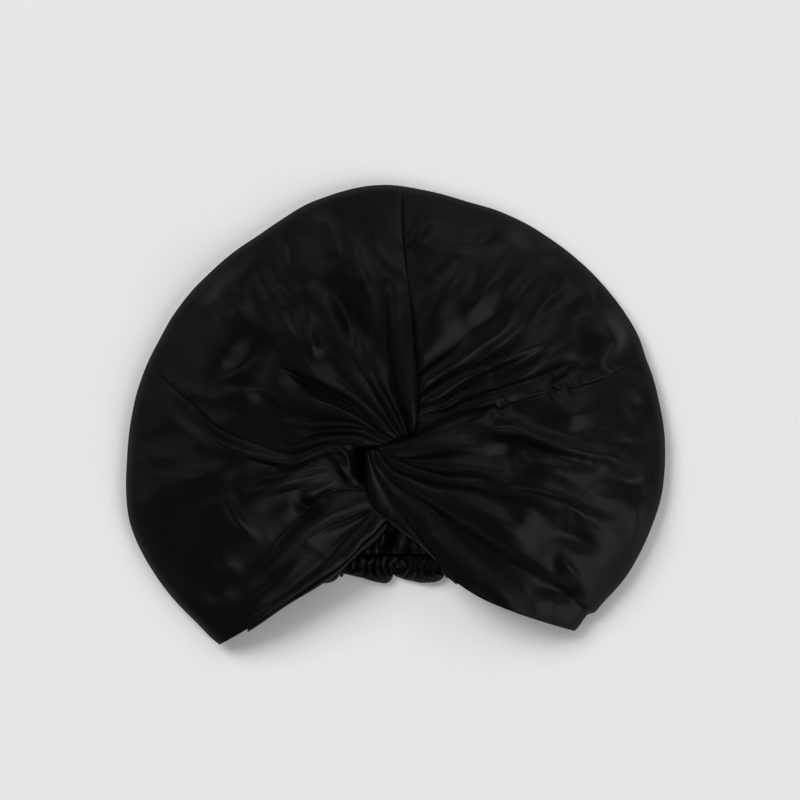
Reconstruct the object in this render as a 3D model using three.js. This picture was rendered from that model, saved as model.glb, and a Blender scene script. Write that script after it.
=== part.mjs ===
// A twist-front satin turban headwrap that lies on its back with the twist facing up.
// Millimetres. +X is the viewer's right, +Y runs from the head opening to the top of the crown, and +Z is up.
// The origin is the centre of the footprint, on the surface that the turban lies on.
//
// Every cloth panel is one shell. It starts at the twist, crosses the front, turns round the rim and
// comes back along the underside to the elastic at the nape. Fold lines run along it. A fold line is a bowed
// curve from the twist to the rim, and the cloth between two neighbouring lines stands up as one fold.
import * as THREE from "three";

// Driving dimensions
const rimRadius = 160; // from the rim's centre to the outline where its share is 1
const puffHeight = 37; // height of the puffed front over the middle of the hollow
const rimHeight = 8; // height of the outermost edge of the rim
const rimRun = 12; // how far inside the outline the rim's round edge reaches
const puffRun = 72; // how far inside the outline the front is fully puffed
const rimRoundShare = 0.36; // share of the puff that the round edge makes
const twistRise = 7; // extra height at the twist
const twistSpread = 26; // radius of that rise
const mouthDrop = 0.42; // share of the height that is lost at the front hem
const mouthRun = 58; // how far from the front hem that loss reaches
const cloth = 1.9; // two layers of satin and the air between them
const seamGap = 0.3; // clearance between neighbouring pieces
const foldHeight = 6; // height of a full fold
const foldSteepness = 0.34; // highest fold, as a share of its own width
const foldStart = 12; // distance from the twist over which folds rise
const twistLift = 3.5; // how far a fully lifted fold line stands above the rest
const tuckDepth = 17; // deepest dive of a panel's end under the twist
const tuckRun = 21; // longest run of that dive
const napeSpan = 140; // relaxed length of the elastic casing
const napeLine = 67; // how far below the rim's centre the end of the underside lies
const napeTurn = 34; // how far above that line the cloth turns down towards it
const gatherRise = 3.2; // height of the gathers where the underside meets the casing
const gatherRun = 55; // how far the gathers reach from the casing
const casingGap = 0.7; // from the end of the underside to the casing
const casingReach = 0.97; // share of the span that the casing and ruffle cover
const casingWidth = 9.5;
const casingHeight = 4.6;
const casingCloth = 1; // wall of the channel
const casingPleat = 1.6; // how far its pleats stand up
const ruffleWidth = 7.5; // at the middle of a lobe
const ruffleHeight = 3.2; // height of the ruffle's top where it leaves the casing
const ruffleRise = 2.2; // how far a lobe arches
const ruffleDrop = 1.4; // how far its free edge lies below its root
const ruffleCloth = 1.2;
const lobeWidth = 28.5;
const hemWidth = 8; // how far the wider strip of hem shows outside its panel's edge
const hemLap = 4; // how far both strips reach under the edge
const hemCloth = 2.4; // wall of the wider strip, and how far its top lies below the puffed front

// The two strips of hem: the shares of the fold line that they follow, their width, drop and thickness in
// shares of hemWidth and hemCloth, and on which side they stand out
const leftHem = { from: 0.06, to: 0.6, outside: 0.425, drop: 1.42, thick: 0.625, sides: -1 };
const rightHem = { from: 0.01, to: 0.5, outside: 1, drop: 1, thick: 1, sides: 1 };

// Mesh fineness
const columnsPerFold = 4;
const pleatColumns = 4;
const casingPleats = 16;
const stripSteps = 14;
const ruffleColumns = 58;
const hemSteps = 24; // points on each hem from which the height lost there is measured
const frontSteps = [0, 0.025, 0.06, 0.11, 0.18, 0.27, 0.38, 0.5, 0.63, 0.76, 0.88, 1];
const rimTurns = [90, 60, 30, 0]; // degrees of the rim's quarter turn
const backSteps = [0.3, 0.62, 0.85, 1];

// The outline: its radius at each bearing from the rim's centre, in shares of rimRadius
const RIM = [
  { bearing: 236, reach: 0.985 },
  { bearing: 228, reach: 1.003 },
  { bearing: 210, reach: 1.022 },
  { bearing: 198, reach: 1.034 },
  { bearing: 186, reach: 1.006 },
  { bearing: 168, reach: 0.974 },
  { bearing: 150, reach: 0.945 },
  { bearing: 132, reach: 0.924 },
  { bearing: 120, reach: 0.917 },
  { bearing: 108, reach: 0.94 },
  { bearing: 93, reach: 0.95 },
  { bearing: 76, reach: 0.927 },
  { bearing: 54, reach: 0.945 },
  { bearing: 36, reach: 0.965 },
  { bearing: 23, reach: 0.982 },
  { bearing: 17, reach: 0.979 },
  { bearing: 0, reach: 1.001 },
  { bearing: -12, reach: 1.008 },
  { bearing: -28, reach: 0.995 },
  { bearing: -40, reach: 0.965 },
  { bearing: -48, reach: 0.942 },
  { bearing: -56, reach: 0.93 },
];

// Fold lines. x and y place the line's end at the twist, and bow how far the line's control point stands off
// its chord, all in shares of rimRadius. bearing is where the line meets the rim. crest is the height of the
// fold that follows the line in shares of foldHeight, lean moves its top towards the next line, and reach is
// the share of the line that it runs along. lift raises the line near the twist, in shares of twistLift.
const leftSeam = { x: -0.108, y: -0.03, bearing: 162.7, bow: 0.29, crest: 0.58, lean: 0, reach: 0.7, lift: 0 };
const rightSeam = { x: 0.097, y: 0.007, bearing: 18.6, bow: -0.03, crest: 1, lean: -0.3, reach: 0.75, lift: 1 };
const centreSeam = { x: 0.078, y: -0.011, bearing: 88.6, bow: -0.05, crest: 0, lean: 0, reach: 1, lift: 1 };

const BAND_LEFT = [
  { x: 0.004, y: -0.268, bearing: 228, bow: 0.074, crest: 0.5, lean: 0, reach: 1, lift: 0 },
  { x: -0.048, y: -0.253, bearing: 222, bow: 0.13, crest: 1, lean: 0, reach: 0.9, lift: 0 },
  { x: -0.093, y: -0.2, bearing: 210, bow: 0.08, crest: 0.83, lean: 0.3, reach: 0.6, lift: 0 },
  { x: -0.097, y: -0.156, bearing: 200, bow: 0.097, crest: 0.42, lean: 0, reach: 0.5, lift: 0 },
  { x: -0.097, y: -0.104, bearing: 188, bow: 0.03, crest: 0.5, lean: 0, reach: 0.8, lift: 0 },
  { x: -0.104, y: -0.06, bearing: 171, bow: 0.216, crest: 0.75, lean: -0.5, reach: 1, lift: -0.43 },
  { ...leftSeam, crest: 0 },
];

const CROWN_LEFT = [
  leftSeam,
  { x: -0.052, y: -0.037, bearing: 157, bow: 0.245, crest: 1, lean: 0, reach: 0.8, lift: 0 },
  { x: -0.007, y: -0.03, bearing: 145, bow: 0.067, crest: 0.92, lean: -0.3, reach: 0.75, lift: -0.29 },
  { x: 0.026, y: -0.022, bearing: 122, bow: 0.045, crest: 0.67, lean: 0, reach: 0.55, lift: 0 },
  { x: 0.048, y: -0.019, bearing: 108, bow: 0.09, crest: 0.67, lean: 0, reach: 0.5, lift: 0 },
  { x: 0.063, y: -0.015, bearing: 99, bow: 0, crest: 0.83, lean: 0.4, reach: 0.6, lift: 0 },
  centreSeam,
];

const CROWN_RIGHT = [
  { x: 0, y: 0, bearing: 88.6, bow: 0, crest: 0.83, lean: 0, reach: 0.9, lift: 0 },
  { x: 0.056, y: 0.238, bearing: 50, bow: 0, crest: 0.83, lean: 0, reach: 0.85, lift: -0.29 },
  { x: 0.052, y: 0.152, bearing: 41, bow: 0, crest: 0.67, lean: 0, reach: 0.7, lift: 0 },
  { x: 0.06, y: 0.1, bearing: 31, bow: 0.045, crest: 0.83, lean: 0.4, reach: 0.85, lift: 0 },
  { x: 0.093, y: 0.048, bearing: 22.5, bow: 0.037, crest: 0.33, lean: 0, reach: 0.9, lift: -0.57 },
  { ...rightSeam, crest: 0, lift: 0 },
];

const BAND_RIGHT = [
  rightSeam,
  { x: -0.074, y: -0.026, bearing: -4, bow: -0.045, crest: 0.67, lean: 0, reach: 0.8, lift: 1 },
  { x: -0.08, y: -0.032, bearing: -19, bow: -0.01, crest: 0.67, lean: 0, reach: 0.8, lift: 1 },
  { x: -0.086, y: -0.036, bearing: -31, bow: 0.06, crest: 0.92, lean: 0.45, reach: 1, lift: 1 },
  { x: -0.091, y: -0.041, bearing: -41.4, bow: -0.075, crest: 0.67, lean: 0.2, reach: 1, lift: 0.71 },
  { x: -0.1, y: -0.046, bearing: -46.4, bow: -0.335, crest: 0, lean: 0, reach: 1, lift: 1 },
];

// Where each panel is gathered into the casing, in shares of half its span, and the depth and run of its
// end's dive under the twist, in shares of tuckDepth and tuckRun
const PANELS = [
  { name: "band_left", lines: BAND_LEFT, nape: [-1, -0.62], tuck: 1, run: 1, seams: [false, true] },
  { name: "crown_left", lines: CROWN_LEFT, nape: [-0.62, 0], tuck: 0.82, run: 0.62, seams: [true, true] },
  { name: "crown_right", lines: CROWN_RIGHT, nape: [0, 0.62], tuck: 0.59, run: 0.62, seams: [true, true] },
  { name: "band_right", lines: BAND_RIGHT, nape: [0.62, 1], tuck: 0, run: 0.62, seams: [true, false] },
];

// Broad ridges (height above 0) and dents of the front: a straight stroke from one plan point to another, and
// its half width, in shares of rimRadius, with its height in shares of foldHeight
const STROKES = [
  { x1: -0.76, y1: 0.4, x2: -0.6, y2: 0.56, height: 0.67, spread: 0.106 },
  { x1: -0.69, y1: 0.21, x2: -0.56, y2: 0.27, height: -0.75, spread: 0.069 },
  { x1: -0.44, y1: 0.74, x2: -0.2, y2: 0.46, height: 0.5, spread: 0.081 },
  { x1: -0.72, y1: 0.12, x2: -0.47, y2: 0.03, height: 0.42, spread: 0.044 },
  { x1: 0.12, y1: 0.72, x2: 0.36, y2: 0.56, height: 0.5, spread: 0.075 },
  { x1: 0.58, y1: 0.74, x2: 0.44, y2: 0.66, height: -0.58, spread: 0.056 },
  { x1: 0.74, y1: 0.25, x2: 0.87, y2: 0.4, height: 0.67, spread: 0.05 },
  { x1: 0.38, y1: -0.17, x2: 0.76, y2: -0.29, height: 0.5, spread: 0.056 },
  { x1: 0.3, y1: 0.05, x2: 0.82, y2: -0.05, height: 0.42, spread: 0.056 },
  { x1: 0.42, y1: -0.05, x2: 0.7, y2: -0.13, height: -0.5, spread: 0.05 },
  { x1: -0.8, y1: -0.2, x2: -0.62, y2: -0.5, height: 0.5, spread: 0.1 },
  { x1: -0.48, y1: -0.22, x2: -0.66, y2: -0.3, height: -0.5, spread: 0.075 },
];
const centreFold = { underShare: 0.4, liftEnd: 0.45, liftFade: 0.62 }; // along the centre seam
// Corners of the casing's cross-section, in shares of its width and height. The top ones rise with the pleats.
const casingSection = [
  { across: 0, up: 0, pleated: 0 },
  { across: 0, up: 0.85, pleated: 0.6 },
  { across: 0.3, up: 1, pleated: 1 },
  { across: 0.75, up: 1, pleated: 1 },
  { across: 1, up: 0.6, pleated: 0.4 },
  { across: 1, up: 0, pleated: 0 },
];
const liftRun = 0.6; // share of a fold line over which its lift fades

const clamp = THREE.MathUtils.clamp;
const lerp = THREE.MathUtils.lerp;
const smooth = (value, from, to) => THREE.MathUtils.smoothstep(value, from, to);
const radians = THREE.MathUtils.degToRad;

// The outline's radius at a bearing: a smooth curve through the rows of RIM, held level beyond its ends.
function outlineRadius(bearing) {
  const held = clamp(bearing, RIM.at(-1).bearing, RIM[0].bearing);
  const after = RIM.findIndex((row) => row.bearing <= held);
  const k = clamp(after - 1, 0, RIM.length - 2);
  const row = (index) => RIM[clamp(index, 0, RIM.length - 1)];
  const span = row(k).bearing - row(k + 1).bearing;
  const t = (row(k).bearing - held) / span;
  const slope = (index) =>
    ((row(index + 1).reach - row(index - 1).reach) /
      (row(index - 1).bearing - row(index + 1).bearing)) * span;
  const t2 = t * t;
  const t3 = t2 * t;
  const reach =
    (2 * t3 - 3 * t2 + 1) * row(k).reach + (t3 - 2 * t2 + t) * slope(k) +
    (3 * t2 - 2 * t3) * row(k + 1).reach + (t3 - t2) * slope(k + 1);
  return rimRadius * reach;
}

function rimPoint(bearing) {
  const radius = outlineRadius(bearing);
  return new THREE.Vector2(radius * Math.cos(radians(bearing)), radius * Math.sin(radians(bearing)));
}

// A point's bearing from the rim's centre, from -90 to 270 degrees as the tables count it.
function bearingOf(point) {
  const degrees = THREE.MathUtils.radToDeg(Math.atan2(point.y, point.x));
  return degrees < -90 ? degrees + 360 : degrees;
}

// How far inside the outline a plan point lies.
const insetOf = (point) => outlineRadius(bearingOf(point)) - point.length();

// A fold line as its two ends and control point.
function planLine(line) {
  const start = new THREE.Vector2(line.x, line.y).multiplyScalar(rimRadius);
  const end = rimPoint(line.bearing);
  const chord = end.clone().sub(start);
  const side = new THREE.Vector2(-chord.y, chord.x).normalize().multiplyScalar(line.bow * rimRadius);
  const bend = start.clone().add(end).multiplyScalar(0.5).add(side);
  return { start, bend, end };
}

function onLine({ start, bend, end }, share) {
  const rest = 1 - share;
  return new THREE.Vector2(
    rest * rest * start.x + 2 * rest * share * bend.x + share * share * end.x,
    rest * rest * start.y + 2 * rest * share * bend.y + share * share * end.y,
  );
}

// The part of a curve beyond one of its shares.
function farPart(curve, from) {
  return { start: onLine(curve, from), bend: curve.bend.clone().lerp(curve.end, from), end: curve.end };
}

const hemLines = [planLine(BAND_LEFT[0]), planLine(BAND_RIGHT.at(-1))];
const hemSamples = hemLines.flatMap((curve) =>
  Array.from({ length: hemSteps + 1 }, (_, k) => onLine(curve, k / hemSteps)),
);
const twistCentre = new THREE.Vector2(-0.02, -0.02).multiplyScalar(rimRadius);

// Height of the puffed front without its folds.
function puffAt(point) {
  const inset = Math.max(0, insetOf(point));
  const round = Math.sqrt(1 - (1 - Math.min(inset / rimRun, 1)) ** 2);
  const rise = 1 - (1 - Math.min(inset / puffRun, 1)) ** 2;
  const share = rimRoundShare * round + (1 - rimRoundShare) * rise;
  const toHem = Math.min(...hemSamples.map((hem) => hem.distanceTo(point)));
  const open = 1 - mouthDrop * (1 - smooth(toHem, 0, mouthRun)) * rise;
  const twist = twistRise * Math.exp(-point.distanceToSquared(twistCentre) / (2 * twistSpread ** 2));
  return rimHeight + (puffHeight - rimHeight) * share * open + twist;
}

// Height that the strokes add at a plan point. They stop at the round edge of the rim.
function strokesAt(point) {
  const spot = new THREE.Vector3(point.x, point.y, 0);
  const nearest = new THREE.Vector3();
  let height = 0;
  for (const stroke of STROKES) {
    const from = new THREE.Vector3(stroke.x1, stroke.y1, 0).multiplyScalar(rimRadius);
    const to = new THREE.Vector3(stroke.x2, stroke.y2, 0).multiplyScalar(rimRadius);
    new THREE.Line3(from, to).closestPointToPoint(spot, true, nearest);
    height += stroke.height * Math.exp(-((nearest.distanceTo(spot) / (stroke.spread * rimRadius)) ** 2));
  }
  return foldHeight * height * smooth(insetOf(point), rimRun / 2, 2 * rimRun);
}

// Height of the underside: flat where it lies, and curling up to the rim.
function undersideAt(point) {
  const inset = Math.max(0, insetOf(point));
  return rimHeight * (1 - Math.sqrt(1 - (1 - Math.min(inset / rimRun, 1)) ** 2));
}

// The way out of the cloth at a plan point: sideways at the rim, and upwards inside it.
function outward(point, up) {
  const level = Math.max(0, 1 - Math.max(0, insetOf(point)) / rimRun);
  const rise = Math.sqrt(1 - level * level) * up;
  const away = point.clone().normalize().multiplyScalar(level);
  return new THREE.Vector3(away.x, away.y, rise);
}

// Height across one fold, from 0 at a line to 1 at the top. sharp is 1 where the lines are creases.
function foldShape(turn, sharp) {
  const wave = Math.sin(Math.PI * turn);
  return lerp(wave * wave, wave, sharp);
}

// How much of its lift a fold line still has at a share of its length.
const liftFade = (share) => 1 - smooth(share, 0, liftRun);

// How far a panel dives under the twist at a distance from its end.
const diveOf = (panel, gone) =>
  panel.tuck * tuckDepth * Math.max(0, 1 - gone / (panel.run * tuckRun)) ** 2;

// The line's share at which it comes within a distance of the outline.
function shareAtInset(curve, inset) {
  let low = 0.4;
  let high = 1;
  for (let k = 0; k < 24; k++) {
    const middle = (low + high) / 2;
    if (insetOf(onLine(curve, middle)) > inset) low = middle;
    else high = middle;
  }
  return (low + high) / 2;
}

// The plan point of the underside's end at a share of half its span.
function napePoint(share) {
  return new THREE.Vector2((share * napeSpan) / 2, -napeLine);
}

// Each column of a panel: its plan curve, its place between two fold lines, and the fold that it is on.
function columnsOf({ lines, nape }) {
  const columns = [];
  const centre = planLine(centreSeam);
  for (let k = 0; k < lines.length - 1; k++) {
    const from = lines[k];
    const to = lines[k + 1];
    const ends = k === lines.length - 2 ? columnsPerFold + 1 : columnsPerFold;
    for (let j = 0; j < ends; j++) {
      const turn = j / columnsPerFold;
      const top = 0.5 + 0.4 * from.lean;
      const across = turn < 0.5 ? turn * 2 * top : top + (turn - 0.5) * 2 * (1 - top);
      const mixed = { ...from };
      for (const key of ["x", "y", "bearing", "bow", "lift"]) mixed[key] = lerp(from[key], to[key], across);
      const curve = planLine(mixed);
      if (lines === CROWN_RIGHT && k === 0) {
        // The first columns leave the centre seam above the place where the left crown laps over.
        const under = farPart(centre, centreFold.underShare);
        const next = planLine(to);
        curve.start = under.start.clone().lerp(next.start, across);
        curve.bend = under.bend.clone().lerp(next.bend, across);
      }
      const napeShare = lerp(nape[0], nape[1], (k + across) / (lines.length - 1));
      columns.push({ curve, turn, line: mixed, width: [planLine(from), planLine(to)], napeShare });
    }
  }
  return columns;
}

// Points of one column, from the twist over the rim to the casing, each with its outward direction.
function columnPoints(column, panel) {
  const { curve, turn, line, width, napeShare } = column;
  const edge = shareAtInset(curve, rimRun);
  const shares = frontSteps.map((step) => step * edge);
  for (const angle of rimTurns.slice(1)) {
    shares.push(shareAtInset(curve, rimRun * (1 - Math.cos(radians(angle)))));
  }
  shares[shares.length - 1] = 1;
  const points = shares.map((share) => {
    const plan = onLine(curve, share);
    const gone = plan.distanceTo(curve.start);
    const spread = onLine(width[0], share).distanceTo(onLine(width[1], share));
    const fade = 1 - smooth(share, line.reach * 0.55, line.reach);
    const sharp = 1 - smooth(share, 0.15, 0.6);
    const start = smooth(gone, -foldStart / 6, foldStart);
    const height = Math.min(line.crest * foldHeight * fade, foldSteepness * spread) * start;
    const isCentre = line.bearing === centreSeam.bearing && panel.name === "crown_left";
    const held = panel.name === "crown_left" && line.bearing < CROWN_LEFT.at(-2).bearing;
    const fading = isCentre || held
      ? 1 - smooth(share, centreFold.liftEnd, centreFold.liftFade)
      : liftFade(share);
    const tuck = diveOf(panel, gone);
    const lifted = line.lift * twistLift * fading;
    const relief = strokesAt(plan) + height * foldShape(turn, sharp) + lifted;
    const z = puffAt(plan) + relief - tuck;
    return { plan, z: Math.max(z, rimHeight), out: outward(plan, 1) };
  });
  const end = napePoint(napeShare);
  const back = { start: end, bend: end.clone().add(new THREE.Vector2(0, napeTurn)), end: curve.end };
  const backEdge = shareAtInset(back, rimRun);
  const backShares = rimTurns.slice(1, -1).reverse()
    .map((angle) => shareAtInset(back, rimRun * (1 - Math.cos(radians(angle)))));
  backShares.push(backEdge, ...backSteps.map((step) => backEdge * (1 - step)));
  for (const share of backShares) {
    const plan = onLine(back, share);
    const near = 1 - smooth(plan.distanceTo(end), 0, gatherRun);
    const gather = gatherRise * near * foldShape(turn, 1);
    points.push({ plan, z: undersideAt(plan) + gather, out: outward(plan, -1) });
  }
  return points;
}

// A closed shell between two grids of points, which have the same number of columns and rows.
function shell(outer, inner) {
  const rows = outer[0].length;
  const count = outer.length * rows;
  const index = [];
  const at = (side, column, row) => side * count + column * rows + row;
  const quad = (a, b, c, d) => index.push(a, c, b, a, d, c);
  for (let i = 0; i < outer.length - 1; i++) {
    for (let j = 0; j < rows - 1; j++) {
      quad(at(0, i, j), at(0, i, j + 1), at(0, i + 1, j + 1), at(0, i + 1, j));
      quad(at(1, i, j), at(1, i + 1, j), at(1, i + 1, j + 1), at(1, i, j + 1));
    }
    quad(at(0, i, 0), at(0, i + 1, 0), at(1, i + 1, 0), at(1, i, 0));
    quad(at(0, i, rows - 1), at(1, i, rows - 1), at(1, i + 1, rows - 1), at(0, i + 1, rows - 1));
  }
  const last = outer.length - 1;
  for (let j = 0; j < rows - 1; j++) {
    quad(at(0, 0, j), at(1, 0, j), at(1, 0, j + 1), at(0, 0, j + 1));
    quad(at(0, last, j), at(0, last, j + 1), at(1, last, j + 1), at(1, last, j));
  }
  const geometry = new THREE.BufferGeometry().setFromPoints([...outer.flat(), ...inner.flat()]);
  geometry.setIndex(index);
  geometry.computeVertexNormals();
  return geometry;
}

// One cloth panel of the turban.
function clothPanel(panel) {
  const grid = columnsOf(panel).map((column) => columnPoints(column, panel));
  const trim = (column, neighbour) => {
    grid[column].forEach((point, row) => {
      const inwards = grid[neighbour][row].plan.clone().sub(point.plan).setLength(seamGap / 2);
      point.plan.add(inwards);
    });
  };
  if (panel.seams[0]) trim(0, 1);
  if (panel.seams[1]) trim(grid.length - 1, grid.length - 2);
  const outer = grid.map((column) => column.map(({ plan, z }) => new THREE.Vector3(plan.x, plan.y, z)));
  const inner = grid.map((column, i) =>
    column.map(({ out }, j) => outer[i][j].clone().addScaledVector(out, -cloth)),
  );
  return shell(outer, inner);
}

// A strip of hem that shows outside a panel's free edge. Its ends taper to nothing.
function hemStrip(panel, line, { from, to, outside, drop, thick, sides }) {
  const curve = planLine(line);
  const wall = thick * hemCloth;
  const shares = Array.from({ length: stripSteps + 1 }, (_, k) => lerp(from, to, k / stripSteps));
  const across = [outside * hemWidth, (outside * hemWidth) / 2, -hemLap / 2, -hemLap];
  const sag = [0.6 * wall, 0, 0, 0];
  const outer = across.map((reach, k) =>
    shares.map((share, row) => {
      const place = onLine(curve, share);
      const ahead = onLine(curve, share + 0.01).sub(place).normalize();
      const side = new THREE.Vector2(ahead.y, -ahead.x).multiplyScalar(sides);
      const bulge = Math.sin((Math.PI * (row + 0.5)) / (stripSteps + 1));
      const plan = place.clone().addScaledVector(side, reach > 0 ? reach * bulge : reach);
      const dive = diveOf(panel, place.distanceTo(curve.start));
      const edge = puffAt(place) + line.lift * twistLift * liftFade(share) - dive;
      return new THREE.Vector3(plan.x, plan.y, edge - drop * hemCloth - sag[k]);
    }),
  );
  const inner = outer.map((column) => column.map((point) => point.clone().setZ(point.z - wall)));
  return sides < 0 ? shell(outer, inner) : shell(outer.reverse(), inner.reverse());
}

// The gathered channel at the nape: a flat tube that follows the end of the underside.
function napeCasing() {
  const columns = casingPleats * pleatColumns;
  const around = casingSection.length;
  const loops = [];
  for (let k = 0; k <= columns; k++) {
    const place = napePoint(casingReach * lerp(-1, 1, k / columns));
    const pleat = Math.sin((Math.PI * k) / pleatColumns) ** 2;
    for (const wall of [0, casingCloth]) {
      loops.push(
        casingSection.map(({ across, up, pleated }) => {
          const y = clamp(across * casingWidth, wall, casingWidth - wall);
          const z = clamp(up * casingHeight, wall, casingHeight - wall);
          const rise = pleated * casingPleat * pleat;
          return new THREE.Vector3(place.x, place.y - casingGap - y, z + rise);
        }),
      );
    }
  }
  const index = [];
  const at = (column, side, k) => (column * 2 + side) * around + (k % around);
  const quad = (a, b, c, d) => index.push(a, b, c, a, c, d);
  for (let column = 0; column < columns; column++) {
    for (let k = 0; k < around; k++) {
      quad(at(column, 0, k), at(column, 0, k + 1), at(column + 1, 0, k + 1), at(column + 1, 0, k));
      quad(at(column, 1, k), at(column + 1, 1, k), at(column + 1, 1, k + 1), at(column, 1, k + 1));
    }
  }
  for (let k = 0; k < around; k++) {
    quad(at(0, 0, k), at(0, 1, k), at(0, 1, k + 1), at(0, 0, k + 1));
    quad(at(columns, 0, k), at(columns, 0, k + 1), at(columns, 1, k + 1), at(columns, 1, k));
  }
  const geometry = new THREE.BufferGeometry().setFromPoints(loops.flat());
  geometry.setIndex(index);
  geometry.computeVertexNormals();
  return geometry;
}

// The short ruffle below the casing. Its lobes widen and rise between the places where it is pinched.
function napeRuffle() {
  const outer = [];
  for (let k = 0; k <= ruffleColumns; k++) {
    const place = napePoint(casingReach * lerp(1, -1, k / ruffleColumns));
    const lobe = Math.abs(Math.sin((Math.PI * place.x) / lobeWidth)) ** 0.6;
    const reach = ruffleWidth * lerp(0.35, 1, lobe);
    outer.push(
      [0, 0.5, 1].map((step) => {
        const rise = ruffleRise * lobe * Math.sin(Math.PI * step * 0.75);
        const y = place.y - casingGap - casingWidth - seamGap - step * reach;
        return new THREE.Vector3(place.x, y, ruffleHeight + rise - step * ruffleDrop);
      }),
    );
  }
  const inner = outer.map((column) =>
    column.map((point) => point.clone().setZ(point.z - ruffleCloth)),
  );
  return shell(outer, inner);
}

const satin = new THREE.MeshStandardMaterial({ color: 0x161515, roughness: 0.42, metalness: 0 });
const hemSatin = new THREE.MeshStandardMaterial({ color: 0x1a1919, roughness: 0.5, metalness: 0 });
const casingSatin = new THREE.MeshStandardMaterial({ color: 0x121212, roughness: 0.55, metalness: 0 });

const turban = new THREE.Group();

function add(name, geometry, material) {
  const mesh = new THREE.Mesh(geometry, material);
  mesh.name = name;
  turban.add(mesh);
}

for (const panel of PANELS) add(panel.name, clothPanel(panel), satin);
add("hem_left", hemStrip(PANELS[0], BAND_LEFT[0], leftHem), hemSatin);
add("hem_right", hemStrip(PANELS[3], BAND_RIGHT.at(-1), rightHem), satin);
add("nape_casing", napeCasing(), casingSatin);
add("nape_ruffle", napeRuffle(), hemSatin);

const middle = new THREE.Box3().setFromObject(turban).getCenter(new THREE.Vector3());
turban.position.set(-middle.x, -middle.y, 0);

export default turban;
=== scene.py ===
"""A black satin twist-front turban that lies flat, front up, on a pale floor.

Every cloth panel is a grid of columns and rows. A column starts at the twist, runs along the fold lines
over the front, turns round the rim and comes back along the underside to the nape. The fold lines are charted
in steps of CHART millimetres from the rim's centre, x to the right and y towards the crown.
"""
import logging
import math
from dataclasses import dataclass, field
from enum import Enum
from typing import Any

import bmesh
import bpy
import numpy as np
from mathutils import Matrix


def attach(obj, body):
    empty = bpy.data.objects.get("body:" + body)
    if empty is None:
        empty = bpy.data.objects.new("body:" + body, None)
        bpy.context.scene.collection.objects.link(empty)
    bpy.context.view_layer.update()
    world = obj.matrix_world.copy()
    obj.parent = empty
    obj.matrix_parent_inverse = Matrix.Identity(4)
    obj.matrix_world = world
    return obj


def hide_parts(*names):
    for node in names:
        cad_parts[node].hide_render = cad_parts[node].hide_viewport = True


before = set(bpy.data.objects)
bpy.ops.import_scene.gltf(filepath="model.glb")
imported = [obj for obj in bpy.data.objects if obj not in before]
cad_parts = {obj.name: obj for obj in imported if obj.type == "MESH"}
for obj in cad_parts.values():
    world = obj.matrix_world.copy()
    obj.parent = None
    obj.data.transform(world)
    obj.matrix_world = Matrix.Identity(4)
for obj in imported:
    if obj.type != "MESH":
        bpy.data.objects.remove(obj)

log = logging.getLogger("turban")

Path = tuple[tuple[float, float], ...]

MM = 0.001
CHART = 0.5948
RIM_CENTRE = (0.0, -16.46)
LINE_POINTS = 240
SPAN_POINTS = 24
TINY = 1e-9


class Slot(Enum):
    """The finishes that the frame names."""

    SATIN = "satin"
    HEM = "hem_satin"
    CASING = "casing_satin"


class Hold(Enum):
    """How the cloth of a piece is held."""

    GATHERED = "gathered"
    FOLDED = "folded"


def smooth(value: Any, low: float, high: float) -> Any:
    """Eases from 0 at low to 1 at high.

    Args:
        value: a number or an array.
        low: where the result is 0.
        high: where the result is 1.

    Returns:
        The eased share.
    """
    share = np.clip((value - low) / (high - low), 0.0, 1.0)
    return share * share * (3.0 - 2.0 * share)


def chart(path: Path) -> np.ndarray:
    """Charted steps as millimetres from the rim's centre."""
    return np.array(path, float) * CHART


def hermite(t: Any, start: Any, leaving: Any, end: Any, arriving: Any) -> Any:
    """Goes from start to end by the share t, with the given slopes at both."""
    first = (2 * t**3 - 3 * t**2 + 1) * start + (t**3 - 2 * t**2 + t) * leaving
    return first + (3 * t**2 - 2 * t**3) * end + (t**3 - t**2) * arriving


def gone_along(points: np.ndarray) -> np.ndarray:
    """How far along a row of points each of them lies."""
    return np.concatenate([[0], np.cumsum(np.linalg.norm(np.diff(points, axis=0), axis=1))])


def laid_out(across: np.ndarray, along: np.ndarray) -> np.ndarray:
    """Places on the flat cloth in mm, from how far across and along it they lie."""
    return np.stack(np.broadcast_arrays(across, along), axis=-1)


def spline(points: Any, count: int) -> tuple[np.ndarray, float]:
    """A smooth curve through plan points.

    Args:
        points: the plan points that it passes through.
        count: how many samples to take, evenly along its length.

    Returns:
        The samples and the curve's length.
    """
    pts = np.asarray(points, float)
    padded = np.vstack([2 * pts[0] - pts[1], pts, 2 * pts[-1] - pts[-2]])
    runs = []
    for k in range(1, len(padded) - 2):
        p0, p1, p2, p3 = padded[k - 1 : k + 3]
        d0, d1, d2 = (max(math.sqrt(np.linalg.norm(b - a)), 1e-6) for a, b in ((p0, p1), (p1, p2), (p2, p3)))
        m1 = ((p1 - p0) / d0 - (p2 - p0) / (d0 + d1) + (p2 - p1) / d1) * d1
        m2 = ((p2 - p1) / d1 - (p3 - p1) / (d1 + d2) + (p3 - p2) / d2) * d1
        t = np.linspace(0, 1, SPAN_POINTS, endpoint=k == len(padded) - 3)[:, None]
        runs.append(hermite(t, p1, m1, p2, m2))
    dense = np.vstack(runs)
    gone = gone_along(dense)
    at = np.linspace(0, gone[-1], count)
    return np.stack([np.interp(at, gone, dense[:, k]) for k in (0, 1)], axis=1), float(gone[-1])


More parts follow.
